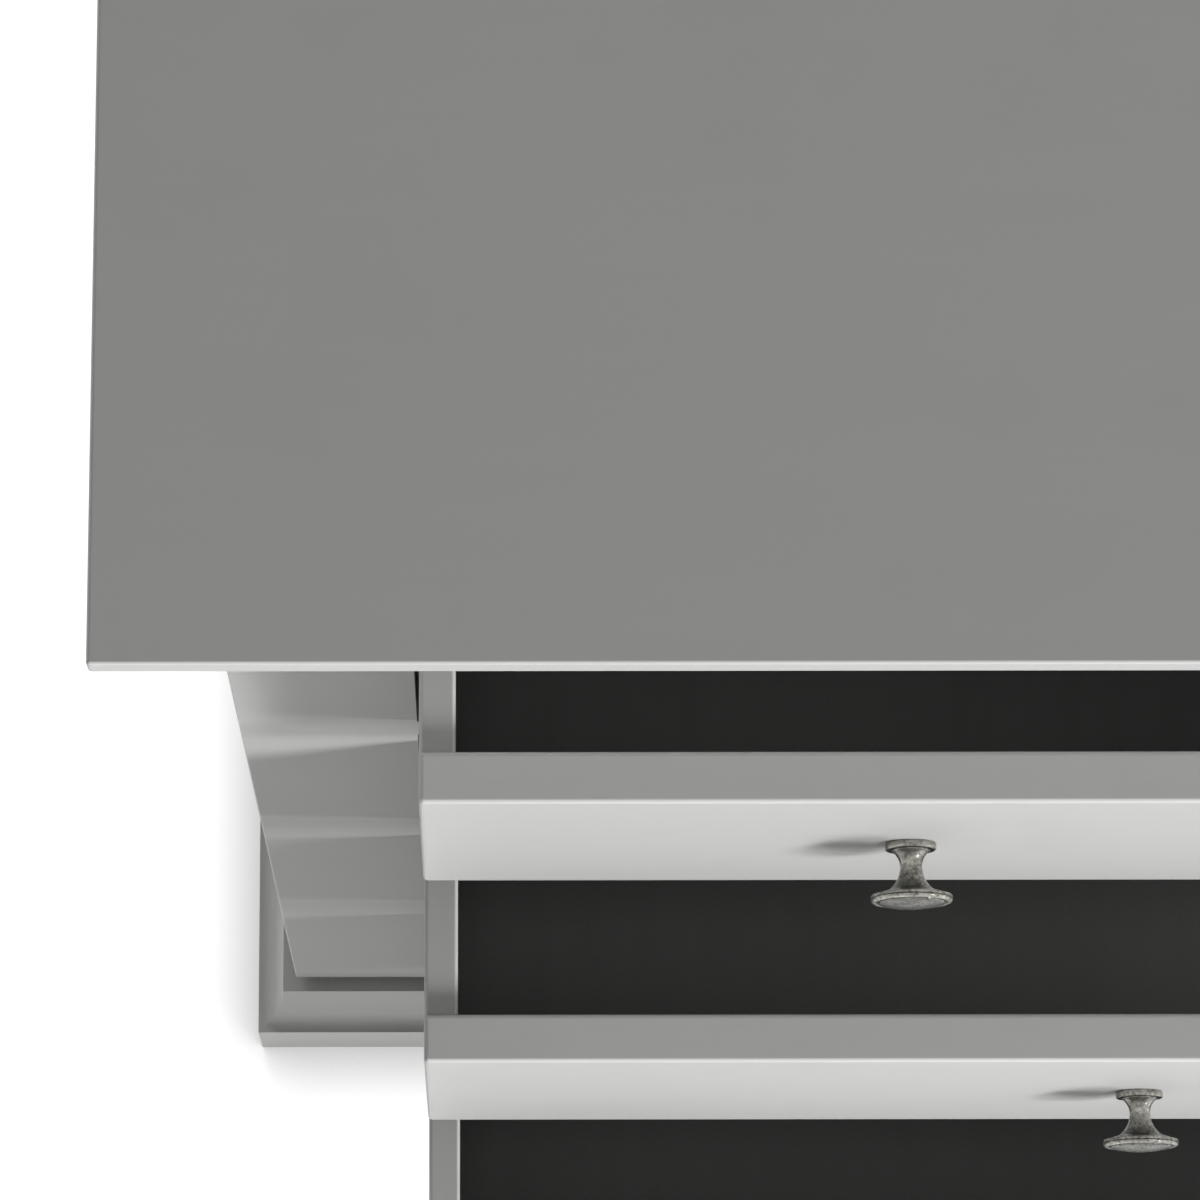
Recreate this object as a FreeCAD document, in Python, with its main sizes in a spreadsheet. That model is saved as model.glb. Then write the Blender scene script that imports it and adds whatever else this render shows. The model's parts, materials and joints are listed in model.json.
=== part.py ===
import FreeCAD, Part
import math
import os
import re
import Sketcher

# A painted chest of nine inset drawers: three small ones over three rows of two.
# It stands on a mitred, cove-moulded plinth, with a crown moulding under its top board.
# The left column of drawers is pulled out in steps, which is the rest pose.
# Frame: +Z up, front towards -Y, origin on the floor below the middle of the bounding box.

SIZES = {
    # case
    "case_width": 1446,
    "case_depth": 468,
    "side_thickness": 18,
    "back_thickness": 6,
    "back_rebate": 8,
    "back_inset": 1.5,
    "bottom_thickness": 18,
    "bottom_inset": 6,
    # face frame
    "frame_thickness": 20,
    "stile_width": 73.7,
    "mullion_width": 66,
    "rail_height": 25.3,
    "bottom_rail_height": 25.8,
    "top_rail_height": 94,
    "edge_ease": 1,
    # top board and crown moulding
    "top_thickness": 22,
    "top_overhang": 40,
    "top_round": 1.5,
    "top_bevel": 11,
    "crown_height": 40,
    "crown_projection": 24,
    "crown_fillet": 4,
    "crown_foot": 5,
    # plinth
    "plinth_height": 56,
    "plinth_projection": 22.3,
    "plinth_flat": 2.2,
    "cove_height": 48.3,
    "cove_radius": 7,
    "ledge_width": 7,
    "plinth_shelf": 8,
    "plinth_back_thickness": 18,
    "case_reveal": 4.7,
    # drawers
    "drawer_gap": 2.7,
    "small_front_height": 166,
    "large_front_height": 183.6,
    "front_thickness": 20,
    "front_round": 2,
    "rear_gap": 18,
    "box_side": 14,
    "box_back": 14,
    "box_drop": 8,
    "box_round": 1.8,
    "panel_thickness": 6,
    "panel_height": 10,
    "panel_groove": 6,
    "panel_play": 0.3,
    "first_open": 67,
    "open_step": 70,
    # web frames that carry the drawers
    "runner_play": 0.3,
    "guide_height": 20,
    "guide_play": 0.5,
    "rear_rail_width": 45,
    "stop_height": 20,
    "stop_play": 0.3,
    "kicker_height": 30,
    # knobs
    "knob_plate_radius": 10,
    "knob_plate_thickness": 2.8,
    "knob_root_radius": 7.4,
    "knob_waist_radius": 4.35,
    "knob_waist_distance": 9.2,
    "knob_neck_radius": 8.7,
    "knob_neck_distance": 18.4,
    "knob_head_radius": 16,
    "knob_rim_start": 21.6,
    "knob_rim_end": 24.7,
    "knob_rim_ease": 0.7,
    "knob_face_radius": 13.5,
    "knob_face_depth": 0.4,
    "knob_dome": 1,
    "screw_radius": 2,
    "screw_play": 0.2,
    "screw_grip": 8,
    "screw_head_radius": 4.2,
    "screw_head_height": 2.6,
}

document = FreeCAD.newDocument("DrawerChest")
sheet = document.addObject("Spreadsheet::Sheet", "Sizes")
for line, (word, number) in enumerate(SIZES.items(), start=1):
    sheet.set(f"A{line}", word)
    sheet.set(f"B{line}", str(number))
    sheet.setAlias(f"B{line}", word)
document.recompute()


def tied(text):
    """Expression text with each size word pointed at its cell of the sheet."""
    return re.sub(r"\b[a-z]+(?:_[a-z]+)+\b", lambda word: "Sizes." + word.group(0), text)


def amount(text):
    """Present value of an expression, in millimetres."""
    return float(sheet.evalExpression(tied(text)))


# The drawers that stand open: the top one by first_open, each other by one more open_step
open_column = ["top_left", "second_left", "third_left", "bottom_left"]

# Places worked out from the sizes
knob_reach = "(knob_rim_end + knob_dome)"
furthest_open = f"(first_open + {len(open_column) - 1} * open_step)"
face_y = f"(({furthest_open} + {knob_reach} - case_depth) / 2)"
case_bottom = "(plinth_height + cove_height + case_reveal)"
case_left = "(-case_width / 2)"
stile_right = f"({case_left} + stile_width)"
inner_width = "(case_width - 2 * stile_width)"
small_opening = "(small_front_height + 2 * drawer_gap)"
large_opening = "(large_front_height + 2 * drawer_gap)"
bottom_floor = f"({case_bottom} + bottom_rail_height)"
third_floor = f"({bottom_floor} + {large_opening} + rail_height)"
second_floor = f"({third_floor} + {large_opening} + rail_height)"
top_floor = f"({second_floor} + {large_opening} + rail_height)"
top_rail_floor = f"({top_floor} + {small_opening})"
case_top = f"({top_rail_floor} + top_rail_height)"
back_y = f"({face_y} + case_depth - back_inset - back_thickness)"
box_length = f"({back_y} - {face_y} - front_thickness - rear_gap)"
frame_back_y = f"({face_y} + frame_thickness)"

nodes = []


def place(piece, corner):
    for axis, text in zip("xyz", corner):
        piece.setExpression("Placement.Base." + axis, tied(text))


def board(label, corner, size):
    """A plain rectangular board."""
    box = document.addObject("Part::Box", label)
    box.Label = label
    for side, text in zip(("Length", "Width", "Height"), size):
        box.setExpression(side, tied(text))
    place(box, corner)
    return box


def group(label, pieces):
    """Several separate solids that are one node."""
    compound = document.addObject("Part::Compound", label)
    compound.Label = label
    compound.Links = pieces
    return compound


def new_body(label, corner):
    body = document.addObject("PartDesign::Body", label)
    body.Label = label
    place(body, corner)
    return body


def new_sketch(body, role):
    sketch = body.newObject("Sketcher::SketchObject", "Outline")
    support = [feature for feature in body.Origin.OriginFeatures if feature.Role == role]
    sketch.AttachmentSupport = (support[0], [""])
    sketch.MapMode = "FlatFace"
    return sketch


def arc_between(start, end, centre):
    """Arc round centre from start to end, and whether its own start is the outline's start."""
    circle = Part.Circle(centre, FreeCAD.Vector(0, 0, 1), (start - centre).Length)
    from_angle = math.atan2(start.y - centre.y, start.x - centre.x)
    to_angle = math.atan2(end.y - centre.y, end.x - centre.x)
    turn = (to_angle - from_angle) % (2 * math.pi)
    if turn < math.pi:
        return Part.ArcOfCircle(circle, from_angle, from_angle + turn), True
    return Part.ArcOfCircle(circle, to_angle, to_angle + 2 * math.pi - turn), False


def outline(sketch, corners, arcs=None):
    """Closed outline through corners. arcs gives, for an edge by its first corner,
    the axis and the place of that edge's centre along it."""
    arcs = arcs or {}
    count = len(corners)
    points = [FreeCAD.Vector(amount(x), amount(y), 0) for x, y in corners]
    first_end = {}
    last_end = {}
    for edge in range(count):
        start = points[edge]
        end = points[(edge + 1) % count]
        if edge not in arcs:
            index = sketch.addGeometry(Part.LineSegment(start, end), False)
            first_end[edge] = (index, 1)
            last_end[edge] = (index, 2)
            continue
        axis, text = arcs[edge]
        fixed = amount(text)
        if axis == "x":
            reach = (start.x - fixed) ** 2 - (end.x - fixed) ** 2 + start.y ** 2 - end.y ** 2
            centre = FreeCAD.Vector(fixed, reach / (2 * (start.y - end.y)), 0)
        else:
            reach = (start.y - fixed) ** 2 - (end.y - fixed) ** 2 + start.x ** 2 - end.x ** 2
            centre = FreeCAD.Vector(reach / (2 * (start.x - end.x)), fixed, 0)
        arc, forward = arc_between(start, end, centre)
        index = sketch.addGeometry(arc, False)
        first_end[edge] = (index, 1 if forward else 2)
        last_end[edge] = (index, 2 if forward else 1)
        kind = "DistanceX" if axis == "x" else "DistanceY"
        number = sketch.addConstraint(Sketcher.Constraint(kind, -1, 1, index, 3, fixed))
        sketch.setExpression(f"Constraints[{number}]", tied(text))
    for edge in range(count):
        following = (edge + 1) % count
        sketch.addConstraint(Sketcher.Constraint("Coincident", *last_end[edge], *first_end[following]))
        x_text, y_text = corners[edge]
        for kind, text, axis_line in (("DistanceX", x_text, -2), ("DistanceY", y_text, -1)):
            if text == "0":
                sketch.addConstraint(Sketcher.Constraint("PointOnObject", *first_end[edge], axis_line))
                continue
            number = sketch.addConstraint(Sketcher.Constraint(kind, -1, 1, *first_end[edge], amount(text)))
            sketch.setExpression(f"Constraints[{number}]", tied(text))


def rectangle(sketch, low, high):
    outline(sketch, [low, (high[0], low[1]), high, (low[0], high[1])])


def circle(sketch, centre, radius):
    middle = FreeCAD.Vector(amount(centre[0]), amount(centre[1]), 0)
    index = sketch.addGeometry(Part.Circle(middle, FreeCAD.Vector(0, 0, 1), amount(radius)), False)
    wanted = (
        (Sketcher.Constraint("DistanceX", -1, 1, index, 3, middle.x), centre[0]),
        (Sketcher.Constraint("DistanceY", -1, 1, index, 3, middle.y), centre[1]),
        (Sketcher.Constraint("Radius", index, amount(radius)), radius),
    )
    for constraint, text in wanted:
        number = sketch.addConstraint(constraint)
        sketch.setExpression(f"Constraints[{number}]", tied(text))


def pad(body, sketch, length, reverse=False, both_ways=False):
    feature = body.newObject("PartDesign::Pad", "Pad")
    feature.Profile = sketch
    feature.setExpression("Length", tied(length))
    feature.Reversed = reverse
    feature.SideType = "Symmetric" if both_ways else "One side"
    document.recompute()
    return feature


def edges_of(feature, wanted):
    """Names of the feature's edges for which wanted(edge) holds."""
    return [f"Edge{number}" for number, edge in enumerate(feature.Shape.Edges, start=1) if wanted(edge)]


def rounded(body, feature, radius, wanted):
    fillet = body.newObject("PartDesign::Fillet", "Round")
    fillet.Base = (feature, edges_of(feature, wanted))
    fillet.setExpression("Radius", tied(radius))
    document.recompute()
    return fillet


def bevelled(body, feature, width, wanted):
    chamfer = body.newObject("PartDesign::Chamfer", "Bevel")
    chamfer.Base = (feature, edges_of(feature, wanted))
    chamfer.setExpression("Size", tied(width))
    document.recompute()
    return chamfer


def along(edge, axis):
    """Whether a straight edge runs along the axis 0, 1 or 2."""
    if edge.Curve.TypeId != "Part::GeomLine":
        return False
    return abs(edge.tangentAt(edge.FirstParameter)[axis]) > 0.999


def near(one, other):
    return abs(one - other) < 0.001


def mitre(body, outer, inner, far):
    """Cuts off what lies beyond the 45 degree line from outer to inner, on the side of far."""
    sketch = new_sketch(body, "XY_Plane")
    outline(sketch, [outer, inner, far])
    cut = body.newObject("PartDesign::Pocket", "Mitre")
    cut.Profile = sketch
    cut.Type = "ThroughAll"
    cut.SideType = "Symmetric"
    document.recompute()
    return cut


# Case: sides, bottom panel, back
def case_side(label, hand):
    """Side board with a rebate for the back. hand is -1 on the left and 1 on the right."""
    body = new_body(label, (f"{hand} * case_width / 2", frame_back_y, case_bottom))
    inner = f"{-hand} * side_thickness"
    rebate = f"{-hand} * (side_thickness - back_rebate)"
    rear = "(case_depth - frame_thickness)"
    shoulder = f"({rear} - back_inset - back_thickness)"
    sketch = new_sketch(body, "XY_Plane")
    outline(sketch, [
        ("0", "0"), (inner, "0"), (inner, shoulder),
        (rebate, shoulder), (rebate, rear), ("0", rear),
    ])
    pad(body, sketch, f"{case_top} - {case_bottom}")
    nodes.append(body)


case_side("side_left", -1)
case_side("side_right", 1)
nodes.append(board(
    "back_panel",
    (f"{case_left} + side_thickness - back_rebate", back_y, case_bottom),
    ("case_width - 2 * (side_thickness - back_rebate)", "back_thickness", f"{case_top} - {case_bottom}"),
))
nodes.append(board(
    "bottom_panel",
    (f"{case_left} + bottom_inset", f"{face_y} + bottom_inset", f"{case_bottom} - bottom_thickness"),
    ("case_width - 2 * bottom_inset", "case_depth - bottom_inset", "bottom_thickness"),
))


# Face frame
def stile(label, hand):
    left = case_left if hand < 0 else "(case_width / 2 - stile_width)"
    body = new_body(label, (left, face_y, case_bottom))
    sketch = new_sketch(body, "XY_Plane")
    rectangle(sketch, ("0", "0"), ("stile_width", "frame_thickness"))
    block = pad(body, sketch, f"{case_top} - {case_bottom}")
    outer = 0 if hand < 0 else amount("stile_width")
    rounded(
        body, block, "edge_ease",
        lambda edge: along(edge, 2) and near(edge.BoundBox.XMin, outer) and near(edge.BoundBox.YMin, 0),
    )
    nodes.append(body)


def rail(label, floor, height):
    nodes.append(board(label, (stile_right, face_y, floor), (inner_width, "frame_thickness", height)))


stile("stile_left", -1)
stile("stile_right", 1)
rail("bottom_rail", case_bottom, "bottom_rail_height")
rail("lower_rail", f"{third_floor} - rail_height", "rail_height")
rail("middle_rail", f"{second_floor} - rail_height", "rail_height")
rail("upper_rail", f"{top_floor} - rail_height", "rail_height")
rail("top_rail", top_rail_floor, "top_rail_height")


def opening_width(count):
    return f"(({inner_width} - {count - 1} * mullion_width) / {count})"


def opening_left(count, index):
    return f"({stile_right} + {index} * ({opening_width(count)} + mullion_width))"


rows = [
    ("top", top_floor, small_opening, "small_front_height", ("left", "middle", "right")),
    ("second", second_floor, large_opening, "large_front_height", ("left", "right")),
    ("third", third_floor, large_opening, "large_front_height", ("left", "right")),
    ("bottom", bottom_floor, large_opening, "large_front_height", ("left", "right")),
]

mullions = []
for row, floor, opening_height, front_height, places in rows:
    for index in range(1, len(places)):
        left = f"{opening_left(len(places), index)} - mullion_width"
        mullions.append(board(
            f"{row}_mullion_{index}",
            (left, face_y, floor),
            ("mullion_width", "frame_thickness", opening_height),
        ))
nodes.append(group("mullions", mullions))


# Top board: rounded above, bevelled below at the front and the ends
top_width = "(case_width + 2 * top_overhang)"
top_depth = "(case_depth + top_overhang)"
top_board = new_body("top_board", (f"-{top_width} / 2", f"{face_y} - top_overhang", case_top))
sketch = new_sketch(top_board, "XY_Plane")
rectangle(sketch, ("0", "0"), (top_width, top_depth))
slab = pad(top_board, sketch, "top_thickness")
slab = bevelled(
    top_board, slab, "top_bevel",
    lambda edge: near(edge.BoundBox.ZMax, 0) and not near(edge.BoundBox.YMin, amount(top_depth)),
)
rounded(
    top_board, slab, "top_round",
    lambda edge: near(edge.BoundBox.ZMin, amount("top_thickness"))
    or (along(edge, 2) and near(edge.BoundBox.YMin, 0)),
)
nodes.append(top_board)


# Mouldings: each is a section padded along its run, with mitred corners at the front
def crown_section(side):
    """Corners and arcs of the crown's section; side turns its projection to -1 or 1."""
    middle = "(crown_height / 2)"
    cove_top = "(crown_height - crown_fillet)"
    face = f"{side} * (crown_projection - crown_fillet / 2)"
    belly = f"{side} * (crown_projection + crown_foot) / 2"
    corners = [
        ("0", "0"),
        (f"{side} * crown_foot", "0"),
        (f"{side} * crown_foot", "crown_foot"),
        (belly, middle),
        (face, cove_top),
        (f"{side} * crown_projection", cove_top),
        (f"{side} * crown_projection", "crown_height"),
        ("0", "crown_height"),
    ]
    return corners, {2: ("y", "crown_foot"), 3: ("y", cove_top)}


def plinth_section(side):
    """Corners and arcs of the plinth's section, with the shelf that carries the bottom panel.
    Its cove is two arcs that meet smoothly: cove_radius at the foot, then a long one."""
    cove_top = "(plinth_height + cove_height)"
    shelf_height = f"({case_bottom} - bottom_thickness)"
    foot = "(plinth_projection - plinth_flat)"
    run = f"({foot} - ledge_width)"
    squares = f"({run} ^ 2 + cove_height ^ 2)"
    long_radius = f"(({squares} - 2 * cove_height * cove_radius) / (2 * ({run} - cove_radius)))"
    share = f"(cove_radius / ({long_radius} - cove_radius))"
    knee_out = f"({foot} - {share} * ({long_radius} - {run}))"
    knee_up = f"(plinth_height + cove_radius - {share} * (cove_height - cove_radius))"
    corners = [
        (f"{-side} * (bottom_inset + plinth_shelf)", "0"),
        (f"{side} * plinth_projection", "0"),
        (f"{side} * plinth_projection", "plinth_height"),
        (f"{side} * {foot}", "plinth_height"),
        (f"{side} * {knee_out}", knee_up),
        (f"{side} * ledge_width", cove_top),
        (f"{-side} * bottom_inset", cove_top),
        (f"{-side} * bottom_inset", shelf_height),
        (f"{-side} * (bottom_inset + plinth_shelf)", shelf_height),
    ]
    return corners, {3: ("x", f"{side} * {foot}"), 4: ("y", cove_top)}


def front_moulding(label, section, floor, projection, inset):
    """A front length centred on the chest, mitred at both ends."""
    body = new_body(label, ("0", face_y, floor))
    sketch = new_sketch(body, "YZ_Plane")
    outline(sketch, *section(-1))
    pad(body, sketch, f"case_width + 2 * {projection}", both_ways=True)
    for hand in (-1, 1):
        outer = (f"{hand} * (case_width / 2 + {projection})", f"-{projection}")
        inner = (f"{hand} * (case_width / 2 - {inset})", inset)
        mitre(body, outer, inner, (outer[0], inset))
    nodes.append(body)


def side_moulding(label, hand, section, floor, projection, inset):
    """A side length from the front mitre to the back of the case."""
    body = new_body(label, (f"{hand} * case_width / 2", face_y, floor))
    sketch = new_sketch(body, "XZ_Plane")
    outline(sketch, *section(hand))
    pad(body, sketch, "case_depth", reverse=True)
    pad(body, sketch, projection)
    outer = (f"{hand} * {projection}", f"-{projection}")
    inner = (f"{-hand} * {inset}", inset)
    mitre(body, outer, inner, (inner[0], outer[1]))
    nodes.append(body)


crown_floor = f"({case_top} - crown_height)"
front_moulding("crown_front", crown_section, crown_floor, "crown_projection", "0")
side_moulding("crown_left", -1, crown_section, crown_floor, "crown_projection", "0")
side_moulding("crown_right", 1, crown_section, crown_floor, "crown_projection", "0")

plinth_inset = "(bottom_inset + plinth_shelf)"
front_moulding("plinth_front", plinth_section, "0", "plinth_projection", plinth_inset)
side_moulding("plinth_left", -1, plinth_section, "0", "plinth_projection", plinth_inset)
side_moulding("plinth_right", 1, plinth_section, "0", "plinth_projection", plinth_inset)
nodes.append(board(
    "plinth_back",
    (f"{case_left} + {plinth_inset}", f"{face_y} + case_depth - plinth_back_thickness", "0"),
    (f"case_width - 2 * {plinth_inset}", "plinth_back_thickness", f"{case_bottom} - bottom_thickness"),
))


# Web frames: under each row a rear rail, runners, guides between the drawers and stops behind them.
# The runners are as deep as the rail before them, so they keep the drawers below from tipping.
def along_runners(count):
    """Left and right edges of the boards that run from front to back between count drawers,
    each with the edges of the guide on it."""
    under_side = "(drawer_gap + box_side)"
    beside = "(drawer_gap - guide_play)"
    strips = []
    for index in range(count + 1):
        before = f"({opening_left(count, index)} - mullion_width)"
        after = opening_left(count, index)
        left, guide_left = f"({before} - {under_side})", f"({before} - {beside})"
        right, guide_right = f"({after} + {under_side})", f"({after} + {beside})"
        if index == 0:
            left = guide_left = inner_left
        if index == count:
            right = guide_right = inner_right
        strips.append((left, right, guide_left, guide_right))
    return strips


inner_left = f"({case_left} + side_thickness)"
inner_right = "(case_width / 2 - side_thickness)"
rear_rail_y = f"({back_y} - rear_rail_width)"
stop_y = f"({back_y} - rear_gap + stop_play)"
for row, floor, opening_height, front_height, places in rows:
    runner_top = f"({floor} + drawer_gap - runner_play)"
    runner_floor = case_bottom if row == "bottom" else f"({floor} - rail_height)"
    runner_height = f"({runner_top} - {runner_floor})"
    pieces = [board(
        f"{row}_rear_rail",
        (inner_left, rear_rail_y, runner_floor),
        (f"{inner_right} - {inner_left}", "rear_rail_width", runner_height),
    )]
    for index, (left, right, guide_left, guide_right) in enumerate(along_runners(len(places))):
        pieces.append(board(
            f"{row}_runner_{index}",
            (left, frame_back_y, runner_floor),
            (f"{right} - {left}", f"{rear_rail_y} - {frame_back_y}", runner_height),
        ))
        pieces.append(board(
            f"{row}_guide_{index}",
            (guide_left, frame_back_y, runner_top),
            (f"{guide_right} - {guide_left}", f"{back_y} - {frame_back_y}", "guide_height"),
        ))
        if row == "top":
            pieces.append(board(
                f"kicker_{index}",
                (left, frame_back_y, top_rail_floor),
                (f"{right} - {left}", f"{back_y} - {frame_back_y}", "kicker_height"),
            ))
    for index, place_name in enumerate(places):
        first = f"({opening_left(len(places), index)} + drawer_gap)"
        last = f"({first} + {opening_width(len(places))} - 2 * drawer_gap - box_side)"
        for end, stop_left in (("left", first), ("right", last)):
            pieces.append(board(
                f"{row}_{place_name}_stop_{end}",
                (stop_left, stop_y, runner_top),
                ("box_side", f"{back_y} - {stop_y}", "stop_height"),
            ))
    nodes.append(group(f"{row}_web_frame", pieces))


# Drawers
def drawer_front(label, corner, width, height):
    """Front board rounded on every outer edge, with a stopped groove behind and the screw's hole."""
    body = new_body(label, corner)
    sketch = new_sketch(body, "XZ_Plane")
    rectangle(sketch, ("0", "0"), (width, height))
    circle(sketch, (f"{width} / 2", f"{height} / 2"), "(screw_radius + screw_play)")
    block = pad(body, sketch, "front_thickness", reverse=True)
    across = amount(width)
    rounded(
        body, block, "front_round",
        lambda edge: near(edge.BoundBox.XMin, 0) or near(edge.BoundBox.XMax, across),
    )
    groove = body.newObject("PartDesign::SubtractiveBox", "Groove")
    groove.setExpression("Length", tied(f"{width} - 2 * (box_side - panel_groove)"))
    groove.setExpression("Width", tied("panel_groove"))
    groove.setExpression("Height", tied("panel_thickness + panel_play"))
    place(groove, ("box_side - panel_groove", "front_thickness - panel_groove", "panel_height"))
    return body


def drawer_side(label, corner, width, height, hand):
    """Box side with a grooved inner face and rounded top edges. hand is -1 on the left."""
    body = new_body(label, corner)
    outer = "0" if hand < 0 else width
    inner = f"{outer} - {hand} * box_side"
    bed = f"{inner} + {hand} * panel_groove"
    groove_top = "panel_height + panel_thickness + panel_play"
    sketch = new_sketch(body, "XZ_Plane")
    outline(sketch, [
        (outer, "0"), (inner, "0"), (inner, "panel_height"), (bed, "panel_height"),
        (bed, groove_top), (inner, groove_top), (inner, height), (outer, height),
    ])
    block = pad(body, sketch, box_length, reverse=True)
    top = amount(height)
    rounded(body, block, "box_round", lambda edge: along(edge, 1) and near(edge.BoundBox.ZMin, top))
    return body


def turned(body, corners, arcs=None):
    """Revolves a section, given as radius and distance, round the drawer's front-to-back axis."""
    sketch = new_sketch(body, "XY_Plane")
    outline(sketch, corners, arcs)
    feature = body.newObject("PartDesign::Revolution", "Turning")
    feature.Profile = sketch
    feature.ReferenceAxis = (sketch, ["V_Axis"])
    feature.Angle = 360
    document.recompute()


def knob(label, corner):
    """Turned pedestal knob: plate, waisted stem and a rimmed, domed head."""
    body = new_body(label, corner)
    bore = "(screw_radius + screw_play)"
    bore_end = "-(screw_grip + screw_play)"
    eased_radius = "(knob_head_radius - knob_rim_ease)"
    turned(body, [
        (bore, "0"),
        ("knob_plate_radius", "0"),
        ("knob_plate_radius", "-knob_plate_thickness"),
        ("knob_root_radius", "-knob_plate_thickness"),
        ("knob_waist_radius", "-knob_waist_distance"),
        ("knob_neck_radius", "-knob_neck_distance"),
        (eased_radius, "-(knob_rim_start - knob_rim_ease)"),
        ("knob_head_radius", "-knob_rim_start"),
        ("knob_head_radius", "-(knob_rim_end - knob_rim_ease)"),
        (eased_radius, "-knob_rim_end"),
        ("knob_face_radius", "-knob_rim_end"),
        ("knob_face_radius", "-(knob_rim_end - knob_face_depth)"),
        ("0", "-(knob_rim_end + knob_dome)"),
        ("0", bore_end),
        (bore, bore_end),
    ], {3: ("y", "-knob_waist_distance"), 4: ("y", "-knob_waist_distance"), 11: ("x", "0")})
    return body


def screw(label, corner):
    """Pan-head screw through the drawer front into the knob."""
    body = new_body(label, corner)
    turned(body, [
        ("0", "-screw_grip"),
        ("screw_radius", "-screw_grip"),
        ("screw_radius", "front_thickness"),
        ("screw_head_radius", "front_thickness"),
        ("screw_head_radius", "front_thickness + screw_head_height"),
        ("0", "front_thickness + screw_head_height"),
    ])
    return body


for row, floor, opening_height, front_height, places in rows:
    count = len(places)
    for index, column in enumerate(places):
        name = f"{row}_{column}"
        width = f"({opening_width(count)} - 2 * drawer_gap)"
        left = f"({opening_left(count, index)} + drawer_gap)"
        front_y = face_y
        if name in open_column:
            front_y = f"({face_y} - first_open - {open_column.index(name)} * open_step)"
        base = f"({floor} + drawer_gap)"
        box_y = f"({front_y} + front_thickness)"
        side_height = f"({front_height} - box_drop)"
        panel_top = "(panel_height + panel_thickness)"
        nodes.append(drawer_front(f"{name}_front", (left, front_y, base), width, front_height))
        nodes.append(group(f"{name}_box", [
            drawer_side(f"{name}_side_left", (left, box_y, base), width, side_height, -1),
            drawer_side(f"{name}_side_right", (left, box_y, base), width, side_height, 1),
            board(
                f"{name}_back",
                (f"{left} + box_side", f"{box_y} + {box_length} - box_back", f"{base} + {panel_top}"),
                (f"{width} - 2 * box_side", "box_back", f"{side_height} - box_round - {panel_top}"),
            ),
        ]))
        nodes.append(board(
            f"{name}_bottom",
            (
                f"{left} + box_side - panel_groove + panel_play",
                f"{box_y} - panel_groove + panel_play",
                f"{base} + panel_height",
            ),
            (
                f"{width} - 2 * (box_side - panel_groove + panel_play)",
                f"{box_length} + panel_groove - panel_play",
                "panel_thickness",
            ),
        ))
        centre = (f"{left} + {width} / 2", front_y, f"{base} + {front_height} / 2")
        nodes.append(group(f"{name}_knob", [knob(f"{name}_pull", centre), screw(f"{name}_screw", centre)]))


# Check every object, then write one file for each node
document.recompute()
faults = [item.Label for item in document.Objects if "Invalid" in item.State or "Error" in item.State]
faults += [node.Label for node in nodes if node.Shape.isNull() or not node.Shape.isValid()]
if faults:
    raise RuntimeError("not sound: " + ", ".join(faults))

os.makedirs("parts", exist_ok=True)
for node in nodes:
    node.Shape.exportStep(f"parts/{node.Label}.step")
    print(node.Label, len(node.Shape.Solids), round(node.Shape.Volume), node.Shape.BoundBox)
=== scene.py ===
import json
import math

import bpy
from mathutils import Matrix, Vector

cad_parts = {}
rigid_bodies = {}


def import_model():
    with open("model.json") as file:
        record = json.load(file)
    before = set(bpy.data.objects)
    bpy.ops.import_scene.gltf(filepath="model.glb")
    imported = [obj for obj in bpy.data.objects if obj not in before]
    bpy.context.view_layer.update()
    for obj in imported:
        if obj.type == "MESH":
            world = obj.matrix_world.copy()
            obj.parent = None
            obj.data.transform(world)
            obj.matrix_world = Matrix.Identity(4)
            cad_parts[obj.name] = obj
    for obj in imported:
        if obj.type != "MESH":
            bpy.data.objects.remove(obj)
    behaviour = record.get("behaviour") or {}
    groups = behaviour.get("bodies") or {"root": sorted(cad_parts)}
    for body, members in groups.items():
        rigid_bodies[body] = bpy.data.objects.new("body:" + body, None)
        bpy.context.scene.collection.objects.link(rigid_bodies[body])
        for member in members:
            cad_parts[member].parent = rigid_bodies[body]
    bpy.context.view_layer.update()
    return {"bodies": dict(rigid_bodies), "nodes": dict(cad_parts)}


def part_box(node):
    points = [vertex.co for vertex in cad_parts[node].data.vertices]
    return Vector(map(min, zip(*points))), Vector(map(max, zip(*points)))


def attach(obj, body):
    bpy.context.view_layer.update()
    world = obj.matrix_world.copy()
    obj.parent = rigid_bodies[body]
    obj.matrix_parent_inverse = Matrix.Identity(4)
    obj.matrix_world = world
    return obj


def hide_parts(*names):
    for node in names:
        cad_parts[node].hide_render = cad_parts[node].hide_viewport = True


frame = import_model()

mm = 0.001


# camera: nearly overhead, above the left front corner of the case
cameraSettings = {
    "lens": 150,  # millimetres, as the sensor is
    "sensor": 36,
    "tilt": 13.323,  # degrees, as the roll is
    "roll": -0.07,
    "rightOfCase": 0.0987,  # metres, as the next two and the end of its view are
    "aheadOfFrame": 0.4253,
    "height": 2.7908,
    "clipEnd": 100,
    "shift": 0.1008,
}


def makeCamera(settings):
    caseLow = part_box("side_left")[0]
    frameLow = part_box("stile_left")[0]
    data = bpy.data.cameras.new("camera")
    data.sensor_width = settings["sensor"]
    data.lens = settings["lens"]
    data.shift_x = settings["shift"]
    data.clip_end = settings["clipEnd"]
    camera = bpy.data.objects.new("camera", data)
    camera.location = (
        caseLow.x + settings["rightOfCase"],
        frameLow.y - settings["aheadOfFrame"],
        settings["height"],
    )
    camera.rotation_euler = (math.radians(settings["tilt"]), 0, math.radians(settings["roll"]))
    bpy.context.scene.collection.objects.link(camera)
    bpy.context.scene.camera = camera


makeCamera(cameraSettings)
print("camera placed")


# shared helpers for materials
along = {"x": 0, "y": 1, "z": 2}
noiseSpread = (0.3, 0.7)  # nearly all of a noise's values lie between these


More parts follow.
